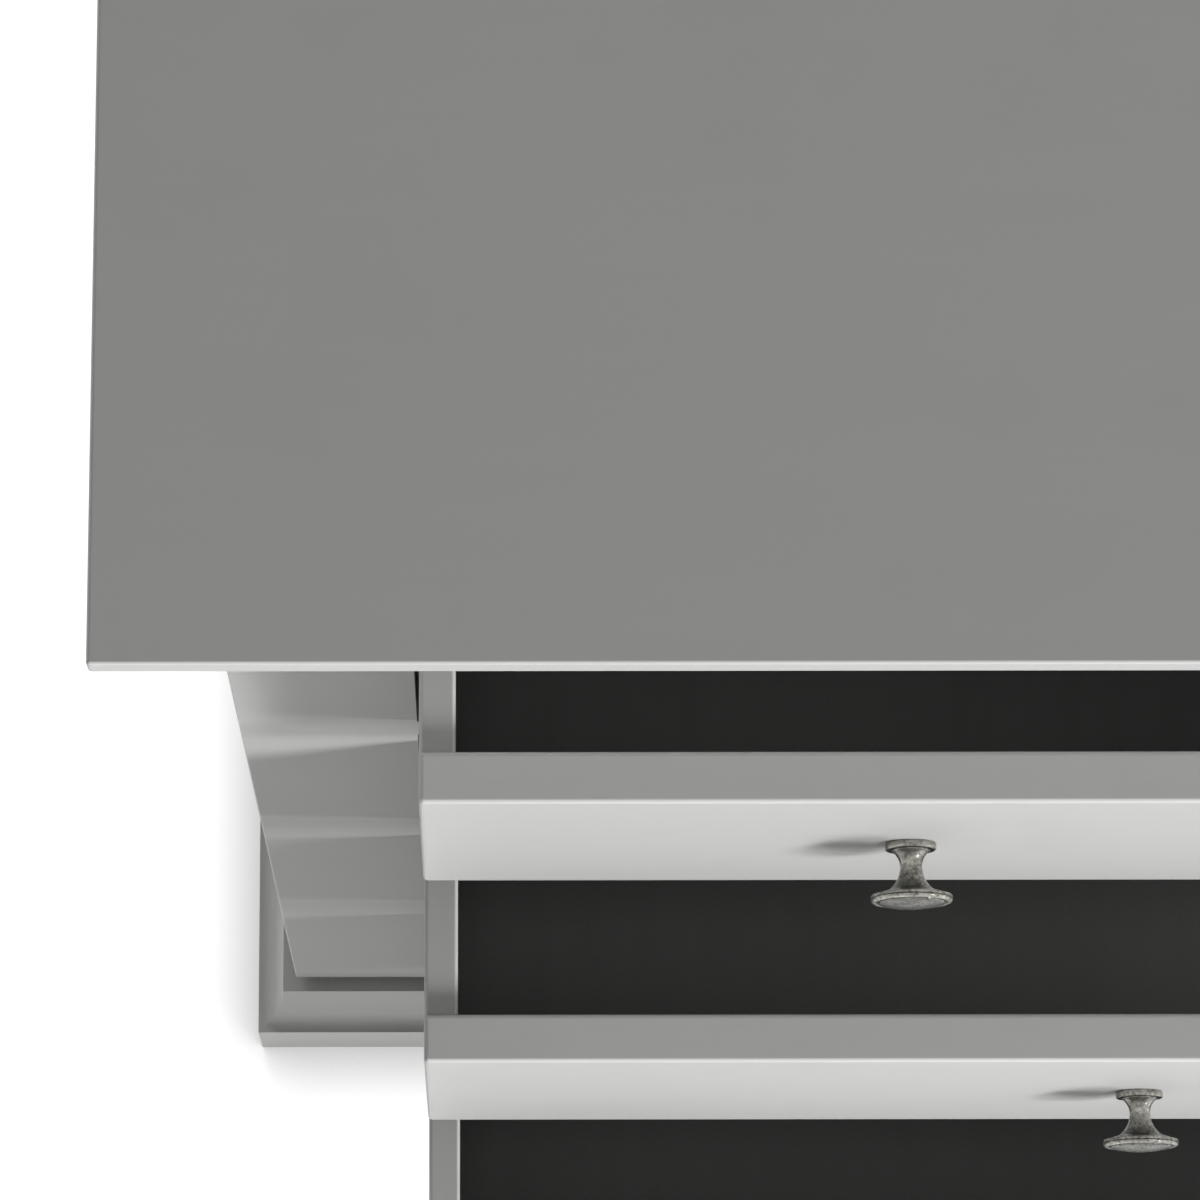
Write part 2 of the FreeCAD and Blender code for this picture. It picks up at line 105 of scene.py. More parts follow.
def setSocket(tree, socket, value):
    if isinstance(value, bpy.types.NodeSocket):
        tree.links.new(value, socket)
    else:
        socket.default_value = value


def newGroup(name, inputs, outputs):
    group = bpy.data.node_groups.new(name, "ShaderNodeTree")
    for label, kind, value in inputs:
        socket = group.interface.new_socket(name=label, in_out="INPUT", socket_type=kind)
        socket.default_value = value
    for label, kind in outputs:
        group.interface.new_socket(name=label, in_out="OUTPUT", socket_type=kind)
    return group, group.nodes.new("NodeGroupInput"), group.nodes.new("NodeGroupOutput")


def useGroup(tree, group, **values):
    node = tree.nodes.new("ShaderNodeGroup")
    node.node_tree = group
    for label, value in values.items():
        node.inputs[label].default_value = value
    return node.outputs


def noiseNode(tree, vector, scale, detail, roughness, distortion=0):
    node = tree.nodes.new("ShaderNodeTexNoise")
    setSocket(tree, node.inputs["Scale"], scale)
    node.inputs["Detail"].default_value = detail
    node.inputs["Roughness"].default_value = roughness
    node.inputs["Distortion"].default_value = distortion
    tree.links.new(vector, node.inputs["Vector"])
    return node.outputs["Fac"]


def rangeNode(tree, value, low, high, fromLow=0, fromHigh=1):
    node = tree.nodes.new("ShaderNodeMapRange")
    node.inputs["From Min"].default_value = fromLow
    node.inputs["From Max"].default_value = fromHigh
    node.inputs["To Min"].default_value = low
    node.inputs["To Max"].default_value = high
    tree.links.new(value, node.inputs["Value"])
    return node.outputs["Result"]


def aroundOne(tree, noise, depth):
    return rangeNode(tree, noise, 1 - depth, 1 + depth, *noiseSpread)


def mathNode(tree, operation, *values):
    node = tree.nodes.new("ShaderNodeMath")
    node.operation = operation
    for socket, value in zip(node.inputs, values):
        setSocket(tree, socket, value)
    return node.outputs["Value"]


def weighted(tree, first, firstShare, second, secondShare):
    return mathNode(
        tree, "ADD",
        mathNode(tree, "MULTIPLY", first, firstShare),
        mathNode(tree, "MULTIPLY", second, secondShare),
    )


def stretched(tree, vector, amounts):
    node = tree.nodes.new("ShaderNodeVectorMath")
    node.operation = "MULTIPLY"
    tree.links.new(vector, node.inputs[0])
    setSocket(tree, node.inputs[1], amounts)
    return node.outputs["Vector"]


def stretchAlong(axis, amount):
    amounts = [1, 1, 1]
    amounts[along[axis]] = amount
    return amounts


def shadedColor(tree, color, shade):
    node = tree.nodes.new("ShaderNodeVectorMath")
    node.operation = "SCALE"
    node.inputs[0].default_value = color
    tree.links.new(shade, node.inputs["Scale"])
    return node.outputs["Vector"]


def mixColor(tree, factor, first, second):
    node = tree.nodes.new("ShaderNodeMix")
    node.data_type = "RGBA"
    for index, value in zip((0, 6, 7), (factor, first, second)):  # its factor and two colours
        setSocket(tree, node.inputs[index], value)
    return node.outputs[2]


def mixShader(tree, factor, first, second):
    node = tree.nodes.new("ShaderNodeMixShader")
    setSocket(tree, node.inputs["Fac"], factor)
    tree.links.new(first, node.inputs[1])
    tree.links.new(second, node.inputs[2])
    return node.outputs["Shader"]


def bumpNode(tree, height, distance, normal=None):
    node = tree.nodes.new("ShaderNodeBump")
    node.inputs["Distance"].default_value = distance
    tree.links.new(height, node.inputs["Height"])
    if normal is not None:
        tree.links.new(normal, node.inputs["Normal"])
    return node.outputs["Normal"]


def showsBackground(tree):
    path = tree.nodes.new("ShaderNodeLightPath")
    seen = path.outputs["Is Camera Ray"]
    for ray in ("Is Glossy Ray", "Is Transmission Ray"):
        seen = mathNode(tree, "MAXIMUM", seen, path.outputs[ray])
    return seen


def newMaterial(name, constants):
    material = bpy.data.materials.new(name)
    material.use_nodes = True
    tree = material.node_tree
    shader = tree.nodes["Principled BSDF"]
    for label, value in constants.items():
        shader.inputs[label].default_value = value
    return material, tree, shader


def dressShader(tree, shader, color, roughness=None, normal=None):
    for label, value in (("Base Color", color), ("Roughness", roughness), ("Normal", normal)):
        if value is not None:
            tree.links.new(value, shader.inputs[label])


# light: a broad key from the right and front with two low lamps below it, soft lamps on the other sides,
# and a pale sky. They light matt surfaces only, and a small spark gives the metal its glints without glare
lightSettings = {
    "aim": (-0.45, -0.2, 0.75),
    "lamps": {  # turn and rise are degrees round the aim, from straight in front and towards the right
        "keyLamp": {"turn": 50, "rise": 20, "distance": 8.4, "size": 2.2, "power": 650},
        "lowLamp": {"turn": 42, "rise": 6, "distance": 8.4, "size": 1.8, "power": 265},
        "baseLamp": {"turn": 46, "rise": -8, "distance": 4.2, "size": 1.0, "power": 58},
        "sparkLamp": {
            "turn": 52, "rise": 22, "distance": 4.2, "size": 0.5, "power": 30, "forGloss": True,
        },
        "leftLamp": {"turn": -75, "rise": 1, "distance": 4.2, "size": 1.6, "power": 15},
        "sideLamp": {"turn": 85, "rise": 40, "distance": 4.2, "size": 1.2, "power": 8},
        "topLamp": {"turn": 0, "rise": 78, "distance": 4.2, "size": 1.4, "power": 12},
        "backLamp": {"turn": 200, "rise": 4, "distance": 4.2, "size": 1.6, "power": 130},
    },
    "sky": 0.08,
}


def makeLamps(settings):
    aim = Vector(settings["aim"])
    for name, lamp in settings["lamps"].items():
        data = bpy.data.lights.new(name, "AREA")
        data.shape = "DISK"
        data.size = lamp["size"]
        data.energy = lamp["power"]
        thing = bpy.data.objects.new(name, data)
        turn = math.radians(lamp["turn"])
        rise = math.radians(lamp["rise"])
        away = Vector((math.sin(turn) * math.cos(rise), -math.cos(turn) * math.cos(rise), math.sin(rise)))
        thing.location = aim + away * lamp["distance"]
        thing.rotation_euler = (aim - thing.location).to_track_quat("-Z", "Y").to_euler()
        thing.visible_glossy = lamp.get("forGloss", False)
        thing.visible_diffuse = not thing.visible_glossy
        bpy.context.scene.collection.objects.link(thing)


def skyShader(tree, strength):
    node = tree.nodes.new("ShaderNodeBackground")
    node.inputs["Color"].default_value = (1, 1, 1, 1)
    node.inputs["Strength"].default_value = strength
    return node.outputs["Background"]


def makeSky(settings):
    world = bpy.data.worlds.new("studio")
    world.use_nodes = True
    tree = world.node_tree
    tree.nodes.clear()
    out = tree.nodes.new("ShaderNodeOutputWorld")
    mix = mixShader(tree, showsBackground(tree), skyShader(tree, settings["sky"]), skyShader(tree, 1))
    tree.links.new(mix, out.inputs["Surface"])
    bpy.context.scene.world = world
    bpy.context.scene.view_settings.view_transform = "Standard"


makeLamps(lightSettings)
makeSky(lightSettings)
print("lamps and sky placed")


# floor: a wide white sheet that glows where it is seen, with a painted contact shadow round the plinth,
# from ambient occlusion, in its glow and its small lit share
floorSettings = {
    "size": 40,
    "bounceColor": 0.9,  # what the sheet throws back on the object
    "seenColor": 4.0,  # far over white, so that only the lamps' shadows tell in the lit share
    "litShare": 0.1,
    "glow": 1.1,
    "contactReach": 45 * mm,
    "contactDepth": 0.95,
    "contactSamples": 16,
}


def makeFloorSheet(settings):
    material = bpy.data.materials.new("floorSheet")
    material.use_nodes = True
    tree = material.node_tree
    tree.nodes.clear()
    bounce = tree.nodes.new("ShaderNodeBsdfDiffuse")
    bounce.inputs["Color"].default_value = (*[settings["bounceColor"]] * 3, 1)
    # painted contact shadow: ambient occlusion darkens the floor's glow close to the plinth
    contact = tree.nodes.new("ShaderNodeAmbientOcclusion")  # darkens the floor close to the plinth
    contact.samples = settings["contactSamples"]
    contact.inputs["Distance"].default_value = settings["contactReach"]
    shade = rangeNode(tree, contact.outputs["AO"], 1 - settings["contactDepth"], 1)
    lit = tree.nodes.new("ShaderNodeBsdfDiffuse")
    tree.links.new(shadedColor(tree, [settings["seenColor"]] * 3, shade), lit.inputs["Color"])
    sheet = tree.nodes.new("ShaderNodeEmission")
    tree.links.new(mathNode(tree, "MULTIPLY", shade, settings["glow"]), sheet.inputs["Strength"])
    seen = mixShader(tree, settings["litShare"], sheet.outputs["Emission"], lit.outputs["BSDF"])
    out = tree.nodes.new("ShaderNodeOutputMaterial")
    mix = mixShader(tree, showsBackground(tree), bounce.outputs["BSDF"], seen)
    tree.links.new(mix, out.inputs["Surface"])
    return material


def makeFloor(settings):
    half = settings["size"] / 2
    mesh = bpy.data.meshes.new("floor")
    corners = [(-half, -half, 0), (half, -half, 0), (half, half, 0), (-half, half, 0)]
    mesh.from_pydata(corners, [], [(0, 1, 2, 3)])
    mesh.materials.append(makeFloorSheet(settings))
    floor = bpy.data.objects.new("floor", mesh)
    bpy.context.scene.collection.objects.link(floor)


makeFloor(floorSettings)
print("floor laid")


# paint: pale grey eggshell with roller stipple and a faint grain of the wood under it, and a painted
# highlight that lightens the eased edges, which are where the surface turns away from all three axes
paintSettings = {
    "color": (0.421, 0.419, 0.412),
    "clouds": {"scale": 2.2, "detail": 5, "roughness": 0.6},
    "cloudDepth": 0.008,
    "smudges": {"scale": 14, "detail": 6, "roughness": 0.6, "distortion": 0.3},
    "smudgeDepth": 0.015,
    "smudgeSpread": (0.54, 0.60),
    "grain": {"scale": 55, "detail": 6, "roughness": 0.62, "distortion": 0.6},
    "grainStretch": 0.06,
    "grainDepth": 0.008,
    "grainHeight": 0.012 * mm,
    "stipple": {"scale": 900, "detail": 2, "roughness": 0.5},
    "stippleHeight": 0.012 * mm,
    "edgeTurn": (0.015, 0.09),
    # how much the eased edges are lightened, a painted highlight
    "paintedEdgeHighlight": 0.42,
    "roughness": (0.5, 0.58),
    "specular": 0.5,
}


def makePaintGroup(settings):
    group, entry, result = newGroup(
        "paintSurface",
        [("Stretch", "NodeSocketVector", (1, 1, 1)), ("EdgeLight", "NodeSocketFloat", 0)],
        [("Color", "NodeSocketColor"), ("Roughness", "NodeSocketFloat"), ("Normal", "NodeSocketVector")],
    )
    coordinates = group.nodes.new("ShaderNodeTexCoord")
    place = coordinates.outputs["Object"]
    clouds = noiseNode(group, place, **settings["clouds"])
    smudges = noiseNode(group, place, **settings["smudges"])
    grain = noiseNode(group, stretched(group, place, entry.outputs["Stretch"]), **settings["grain"])
    stipple = noiseNode(group, place, **settings["stipple"])
    shade = mathNode(
        group, "MULTIPLY",
        aroundOne(group, clouds, settings["cloudDepth"]),
        aroundOne(group, grain, settings["grainDepth"]),
    )
    smudgeShade = rangeNode(group, smudges, 1, 1 - settings["smudgeDepth"], *settings["smudgeSpread"])
    shade = mathNode(group, "MULTIPLY", shade, smudgeShade)
    facing = group.nodes.new("ShaderNodeSeparateXYZ")
    group.links.new(coordinates.outputs["Normal"], facing.inputs["Vector"])
    largest = mathNode(group, "ABSOLUTE", facing.outputs["X"])
    for axis in ("Y", "Z"):
        largest = mathNode(group, "MAXIMUM", largest, mathNode(group, "ABSOLUTE", facing.outputs[axis]))
    # painted highlight: the eased edges, found from the surface normal, are lightened to stand in for the
    # light they catch
    edge = rangeNode(group, mathNode(group, "SUBTRACT", 1, largest), 0, 1, *settings["edgeTurn"])
    highlighted = mathNode(group, "ADD", mathNode(group, "MULTIPLY", edge, entry.outputs["EdgeLight"]), 1)
    color = shadedColor(group, settings["color"], mathNode(group, "MULTIPLY", shade, highlighted))
    gloss = rangeNode(group, clouds, *settings["roughness"], *noiseSpread)
    grainNormal = bumpNode(group, grain, settings["grainHeight"])
    normal = bumpNode(group, stipple, settings["stippleHeight"], grainNormal)
    group.links.new(color, result.inputs["Color"])
    group.links.new(gloss, result.inputs["Roughness"])
    group.links.new(normal, result.inputs["Normal"])
    return group


paintGroup = makePaintGroup(paintSettings)


def usePaint(tree, axis, settings, paintedEdgeHighlight):
    stretch = stretchAlong(axis, settings["grainStretch"])
    return useGroup(tree, paintGroup, Stretch=stretch, EdgeLight=paintedEdgeHighlight)


def makePaint(name, axis, settings, paintedEdgeHighlight):
    material, tree, shader = newMaterial(name, {"Specular IOR Level": settings["specular"]})
    surface = usePaint(tree, axis, settings, paintedEdgeHighlight)
    dressShader(tree, shader, surface["Color"], surface["Roughness"], surface["Normal"])
    return material


# charcoal: the stained lining of the drawers, matt, with a fine pressed texture
charcoalSettings = {
    "color": (0.19, 0.188, 0.184),
    "flecks": {"scale": 1400, "detail": 2, "roughness": 0.5},
    "fleckDepth": 0.10,
    "fleckHeight": 0.02 * mm,
    "streaks": {"scale": 90, "detail": 5, "roughness": 0.6},
    "streakStretch": 0.05,
    "streakDepth": 0.035,
    "roughness": 0.6,
    "specular": 0.5,
}


def makeCharcoalGroup(settings):
    group, entry, result = newGroup(
        "charcoalSurface", [], [("Color", "NodeSocketColor"), ("Normal", "NodeSocketVector")],
    )
    place = group.nodes.new("ShaderNodeTexCoord").outputs["Object"]
    flecks = noiseNode(group, place, **settings["flecks"])
    lengthwise = stretched(group, place, stretchAlong("y", settings["streakStretch"]))
    streaks = noiseNode(group, lengthwise, **settings["streaks"])
    shade = mathNode(
        group, "MULTIPLY",
        aroundOne(group, flecks, settings["fleckDepth"]),
        aroundOne(group, streaks, settings["streakDepth"]),
    )
    group.links.new(shadedColor(group, settings["color"], shade), result.inputs["Color"])
    group.links.new(bumpNode(group, flecks, settings["fleckHeight"]), result.inputs["Normal"])
    return group


charcoalGroup = makeCharcoalGroup(charcoalSettings)


def makeCharcoal(name, settings):
    constants = {"Roughness": settings["roughness"], "Specular IOR Level": settings["specular"]}
    material, tree, shader = newMaterial(name, constants)
    surface = useGroup(tree, charcoalGroup)
    dressShader(tree, shader, surface["Color"], normal=surface["Normal"])
    return material


# two tones: where a drawer piece faces the inside of its drawer, below the rounding of its upper edge,
# it is charcoal like the lining, and painted elsewhere
insideSettings = {
    "inwardLeast": 0.1,  # how far a board of the box faces the middle of its drawer
    "tiltMost": 0.25,  # how far it may look up
    "backwardLeast": 0.9,  # how squarely the back of a front faces the box
}


def makeInsideGroup(settings):
    group, entry, result = newGroup(
        "facesInside", [], [("Box", "NodeSocketFloat"), ("Front", "NodeSocketFloat")],
    )
    coordinates = group.nodes.new("ShaderNodeTexCoord")
    share = group.nodes.new("ShaderNodeSeparateXYZ")
    group.links.new(coordinates.outputs["Generated"], share.inputs["Vector"])
    facing = group.nodes.new("ShaderNodeSeparateXYZ")
    group.links.new(coordinates.outputs["Normal"], facing.inputs["Vector"])
    towards = []
    for axis in ("X", "Y"):
        offset = mathNode(group, "SUBTRACT", 0.5, share.outputs[axis])  # from the middle of the box
        towards.append(mathNode(group, "MULTIPLY", offset, facing.outputs[axis]))
    inward = mathNode(group, "GREATER_THAN", mathNode(group, "ADD", *towards), settings["inwardLeast"])
    tilt = mathNode(group, "ABSOLUTE", facing.outputs["Z"])
    upright = mathNode(group, "LESS_THAN", tilt, settings["tiltMost"])
    backward = mathNode(group, "GREATER_THAN", facing.outputs["Y"], settings["backwardLeast"])
    group.links.new(mathNode(group, "MULTIPLY", inward, upright), result.inputs["Box"])
    group.links.new(backward, result.inputs["Front"])
    return group


insideGroup = makeInsideGroup(insideSettings)


def makeTwoTone(name, maskName, axis, paint):
    material, tree, shader = newMaterial(name, {"Specular IOR Level": paint["specular"]})
    surface = usePaint(tree, axis, paint, paint["paintedEdgeHighlight"])
    lining = useGroup(tree, charcoalGroup)
    mask = useGroup(tree, insideGroup)[maskName]
    color = mixColor(tree, mask, surface["Color"], lining["Color"])
    dressShader(tree, shader, color, surface["Roughness"], surface["Normal"])
    return material


# bare softwood of the web frames, and the thin back: one grain, with each wood's own colours and scales
grainSettings = {
    "stretch": 0.05,
    "rings": {"detail": 3, "roughness": 0.5, "distortion": 1.5},
    "ringCount": 6,
    "ringShare": 0.65,
    "fibers": {"detail": 4, "roughness": 0.6},
    "fiberShare": 0.35,
}
woodSettings = {
    "light": (0.56, 0.41, 0.25, 1),
    "dark": (0.40, 0.265, 0.14, 1),
    "ringScale": 26,
    "fiberScale": 420,
    "height": 0.05 * mm,
    "roughness": (0.55, 0.75),
    "specular": 0.35,
}
backBoardSettings = {
    "light": (0.34, 0.32, 0.285, 1),
    "dark": (0.25, 0.235, 0.205, 1),
    "ringScale": 14,
    "fiberScale": 500,
    "height": 0.03 * mm,
    "roughness": (0.6, 0.8),
    "specular": 0.35,
}


def makeGrainGroup(settings):
    group, entry, result = newGroup(
        "woodGrain",
        [
            ("Stretch", "NodeSocketVector", (1, 1, 1)),
            ("RingScale", "NodeSocketFloat", 1),
            ("FiberScale", "NodeSocketFloat", 1),
            ("Light", "NodeSocketColor", (1, 1, 1, 1)),
            ("Dark", "NodeSocketColor", (0, 0, 0, 1)),
        ],
        [("Color", "NodeSocketColor"), ("Fibers", "NodeSocketFloat")],
    )
    place = group.nodes.new("ShaderNodeTexCoord").outputs["Object"]
    lengthwise = stretched(group, place, entry.outputs["Stretch"])
    rings = noiseNode(group, lengthwise, entry.outputs["RingScale"], **settings["rings"])
    fibers = noiseNode(group, lengthwise, entry.outputs["FiberScale"], **settings["fibers"])
    bands = mathNode(group, "PINGPONG", mathNode(group, "MULTIPLY", rings, settings["ringCount"]), 1)
    blend = weighted(group, bands, settings["ringShare"], fibers, settings["fiberShare"])
    color = mixColor(group, blend, entry.outputs["Light"], entry.outputs["Dark"])
    group.links.new(color, result.inputs["Color"])
    group.links.new(fibers, result.inputs["Fibers"])
    return group


grainGroup = makeGrainGroup(grainSettings)


def makeWood(name, axis, settings):
    material, tree, shader = newMaterial(name, {"Specular IOR Level": settings["specular"]})
    surface = useGroup(
        tree, grainGroup,
        Stretch=stretchAlong(axis, grainSettings["stretch"]),
        RingScale=settings["ringScale"],
        FiberScale=settings["fiberScale"],
        Light=settings["light"],
        Dark=settings["dark"],
    )
    roughness = rangeNode(tree, surface["Fibers"], *settings["roughness"], *noiseSpread)
    normal = bumpNode(tree, surface["Fibers"], settings["height"])
    dressShader(tree, shader, surface["Color"], roughness, normal)
    return material


# pewter: aged cast metal, mottled all over, and darkened by weights on the mesh: patina in the grooves of
# the head, patina and painted shade on the plate's face and under the back of the head, a painted dark
# reflection round the stem's root, a darker dome face
pewterSettings = {
    "pale": (0.47, 0.465, 0.422, 1),
    "dark": (0.085, 0.082, 0.069, 1),
    "patinaAndShadeColor": (0.018, 0.017, 0.014, 1),
    "mottle": {"scale": 700, "detail": 4, "roughness": 0.65},
    "mottleShare": 0.7,
    "patches": {"scale": 190, "detail": 3, "roughness": 0.5},
    "patchShare": 0.3,
    "spread": (0.36, 0.62),
    "height": 0.05 * mm,
    "metallic": 0.7,
    "roughness": (0.46, 0.2),  # of the dark and the pale metal
}


def makePewter(name, settings):
    material, tree, shader = newMaterial(name, {"Metallic": settings["metallic"]})
    place = tree.nodes.new("ShaderNodeTexCoord").outputs["Object"]
    patinaAndShadeWeight = tree.nodes.new("ShaderNodeAttribute")
    patinaAndShadeWeight.attribute_name = "patinaAndShadeWeight"
    mottle = noiseNode(tree, place, **settings["mottle"])
    patches = noiseNode(tree, place, **settings["patches"])
    blend = weighted(tree, mottle, settings["mottleShare"], patches, settings["patchShare"])
    spread = rangeNode(tree, blend, 0, 1, *settings["spread"])
    worn = mixColor(tree, spread, settings["dark"], settings["pale"])
    # the weights give patina in the grooves, and painted shade and a painted dark reflection at the plate,
    # the stem's root and the head's back
    color = mixColor(tree, patinaAndShadeWeight.outputs["Fac"], worn, settings["patinaAndShadeColor"])
    roughness = rangeNode(tree, spread, *settings["roughness"])
    dressShader(tree, shader, color, roughness, bumpNode(tree, mottle, settings["height"]))
    return material


# steel: the zinc plated screws behind the knobs and round the back
steelSettings = {
    "bright": (0.44, 0.44, 0.45, 1),
    "dull": (0.20, 0.20, 0.21, 1),
    "bloom": {"scale": 1500, "detail": 3, "roughness": 0.6},
    "spread": (0.38, 0.62),
    "roughness": (0.28, 0.48),
}


def makeSteel(name, settings):
    material, tree, shader = newMaterial(name, {"Metallic": 1})
    place = tree.nodes.new("ShaderNodeTexCoord").outputs["Object"]
    spread = rangeNode(tree, noiseNode(tree, place, **settings["bloom"]), 0, 1, *settings["spread"])
    color = mixColor(tree, spread, settings["bright"], settings["dull"])
    dressShader(tree, shader, color, rangeNode(tree, spread, *settings["roughness"]))
    return material


paints, mouldingPaints = {}, {}
for axis in along:
    paints[axis] = makePaint("paint" + axis.upper(), axis, paintSettings, paintSettings["paintedEdgeHighlight"])
    mouldingPaints[axis] = makePaint("mouldingPaint" + axis.upper(), axis, paintSettings, 0)
frontMaterial = makeTwoTone("drawerFrontPaint", "Front", "x", paintSettings)
boxMaterial = makeTwoTone("drawerBoxPaint", "Box", "y", paintSettings)
charcoal = makeCharcoal("drawerLining", charcoalSettings)
bareWood = makeWood("bareWood", "y", woodSettings)
bareRail = makeWood("bareRail", "x", woodSettings)
backBoard = makeWood("backBoard", "z", backBoardSettings)
pewter = makePewter("agedPewter", pewterSettings)
steel = makeSteel("zincSteel", steelSettings)
print("materials made")


# finish of every piece of the case and the drawers
caseFinish = {
    "side_left": paints["z"],
    "side_right": paints["z"],
    "stile_left": paints["z"],
    "stile_right": paints["z"],
    "mullions": paints["z"],
    "crown_front": mouldingPaints["x"],
    "crown_left": mouldingPaints["y"],
    "crown_right": mouldingPaints["y"],
    "plinth_front": mouldingPaints["x"],
    "plinth_left": mouldingPaints["y"],
    "plinth_right": mouldingPaints["y"],
    "back_panel": backBoard,
    "plinth_back": bareRail,
}
drawerFinish = {"front": frontMaterial, "box": boxMaterial, "bottom": charcoal, "knob": pewter}


def finishFor(name):
    if name in caseFinish:
        return caseFinish[name]
    if name.endswith("web_frame"):
        return bareWood
    return drawerFinish.get(name.rsplit("_", 1)[1], paints["x"])


for name, piece in frame["nodes"].items():
    piece.data.materials.clear()
    piece.data.materials.append(finishFor(name))
print("finishes given to the frame's pieces")


# knobs: lathed pulls, each with its screw. A station is radius and distance from the drawer's face,
# both in millimetres, and how far the metal there is darkened
pullSettings = {
    "segments": 72,
    "arcSteps": 14,
    "sharpAngle": 40,
    "plate": [
        (0, 0, 0), (9.75, 0, 0.4), (10, 0.25, 0.3), (10, 2.3, 0), (9.9, 2.62, 0), (9.6, 2.8, 0.5),
        (9.2, 2.8, 0.95), (7.8, 2.78, 1), (7.62, 2.7, 1), (7.58, 2.95, 0.7), (7.5, 3.2, 0.1),
        (7.25, 3.32, 0.3),
    ],
    # darkened towards the root: patina, and a painted dark reflection
    "root": (7.1, 3.4, 0.5),
    "rootFade": 0.5,  # below 1 the dark ends close to the root
    "waist": (4.35, 9.2, 0),
    # darkened towards the back of the head: patina, and painted shade
    "neck": (8.7, 18.4, 0.5),
    "neckFade": 3,  # over 1 it begins close to the neck
    "rim": [
        (9.6, 18.95, 0.9), (11.4, 19.5, 0.7), (13.2, 20.1, 0.5), (14.6, 20.6, 0.5), (15.05, 20.72, 0.7),
        (15.35, 20.7, 0.3), (15.75, 20.85, 0), (15.97, 21.1, 0), (16, 21.45, 0), (16, 21.85, 0.2),
        (15.84, 22, 0.85), (15.78, 22.1, 0.95), (15.84, 22.2, 0.85), (16, 22.38, 0.1), (15.98, 22.75, 0),
        (15.8, 23.1, 0), (15.4, 23.42, 0), (14.9, 23.62, 0), (14.3, 23.66, 0.1), (13.8, 23.5, 0.6),
        (13.5, 23.35, 1), (13.3, 23.4, 1), (13.15, 23.7, 0.6), (13, 23.95, 0.4),
    ],
    "dome": (12.8, 24.08, 0.72),
    "crown": 25.7,
    "domeSteps": 8,
    "turnStep": 37,  # degrees from one knob to the next
}
screwSettings = {
    "segments": 32,
    "sharpAngle": 30,
    "head": [(0, 0), (4.2, 0), (4.2, 0.9), (3.95, 1.55), (3.2, 2.15), (2.0, 2.5), (0, 2.6)],
    "shank": [(0, -28), (1.4, -28), (2, -26.5), (2, 0), (0, 0)],
    "slot": (5.2, 0.9, 1.5),  # length, width and depth of each arm of the cross
}


def arcStations(first, last, level, steps, fade):
    (firstRadius, firstPlace, firstDark), (lastRadius, lastPlace, lastDark) = first, last
    rise = (firstPlace - level) ** 2 - (lastPlace - level) ** 2
    middle = (firstRadius ** 2 - lastRadius ** 2 + rise) / (2 * (firstRadius - lastRadius))
    reach = math.hypot(firstRadius - middle, firstPlace - level)
    stations = []
    for step in range(steps + 1):
        share = step / steps
        place = firstPlace + (lastPlace - firstPlace) * share
        radius = middle - math.sqrt(max(reach ** 2 - (place - level) ** 2, 0))
        stations.append((radius, place, firstDark + (lastDark - firstDark) * share ** fade))
    return stations


def pullStations(settings):
    root, waist, neck = (settings[name] for name in ("root", "waist", "neck"))
    steps = settings["arcSteps"]
    stations = list(settings["plate"])
    stations += arcStations(root, waist, waist[1], steps, settings["rootFade"])
    stations += arcStations(waist, neck, waist[1], steps, settings["neckFade"])[1:]
    stations += settings["rim"]
    edge, start, dark = settings["dome"]
    for step in range(settings["domeSteps"] + 1):
        radius = edge * (1 - step / settings["domeSteps"])
        place = settings["crown"] - (settings["crown"] - start) * (radius / edge) ** 2
        stations.append((radius, place, dark))
    return stations


def lathe(stations, segments, forward):
    vertices, faces, darkness, rings = [], [], [], []
    for radius, place, dark in stations:
        count = 1 if radius == 0 else segments
        rings.append(range(len(vertices), len(vertices) + count))
        for index in range(count):
            angle = 2 * math.pi * index / count
            across, up = radius * mm * math.sin(angle), radius * mm * math.cos(angle)
            vertices.append((across, forward * place * mm, up))
            darkness.append(dark)
    for lower, upper in zip(rings, rings[1:]):
        for index in range(segments):
            after = (index + 1) % segments
            corners = [lower[index % len(lower)], lower[after % len(lower)]]
            corners += [upper[after % len(upper)], upper[index % len(upper)]]
            corners = list(dict.fromkeys(corners))
            faces.append(corners if forward < 0 else corners[::-1])
    return vertices, faces, darkness


def meshFrom(name, vertices, faces, darkness, sharpAngle):
    mesh = bpy.data.meshes.new(name)
    mesh.from_pydata(vertices, [], faces)
    mesh.attributes.new("patinaAndShadeWeight", "FLOAT", "POINT").data.foreach_set("value", darkness)
    mesh.shade_smooth()
    mesh.set_sharp_from_angle(angle=math.radians(sharpAngle))
    return mesh


def makePullMesh(settings):
    turned = lathe(pullStations(settings), settings["segments"], -1)
    return meshFrom("pull", *turned, settings["sharpAngle"])


def makeScrewPart(name, settings):
    stations = [(radius, place, 0) for radius, place in settings[name]]
    turned = lathe(stations, settings["segments"], 1)
    return meshFrom(name, *turned, settings["sharpAngle"])


def makeSlotMesh(settings):
    length, width, depth = (value * mm for value in settings["slot"])
    top = settings["head"][-1][1] * mm
    corners, faces = [], []
    for long, wide in ((length, width), (width, length)):
        first = len(corners)
        for y in (top - depth, top + depth):
            corners += [(x * long / 2, y, z * wide / 2) for x, z in ((-1, -1), (1, -1), (1, 1), (-1, 1))]
        faces += [[first + index for index in face] for face in (
            (0, 1, 2, 3), (7, 6, 5, 4), (4, 5, 1, 0), (5, 6, 2, 1), (6, 7, 3, 2), (7, 4, 0, 3),
        )]
    mesh = bpy.data.meshes.new("screwSlot")
    mesh.from_pydata(corners, [], faces)
    return mesh


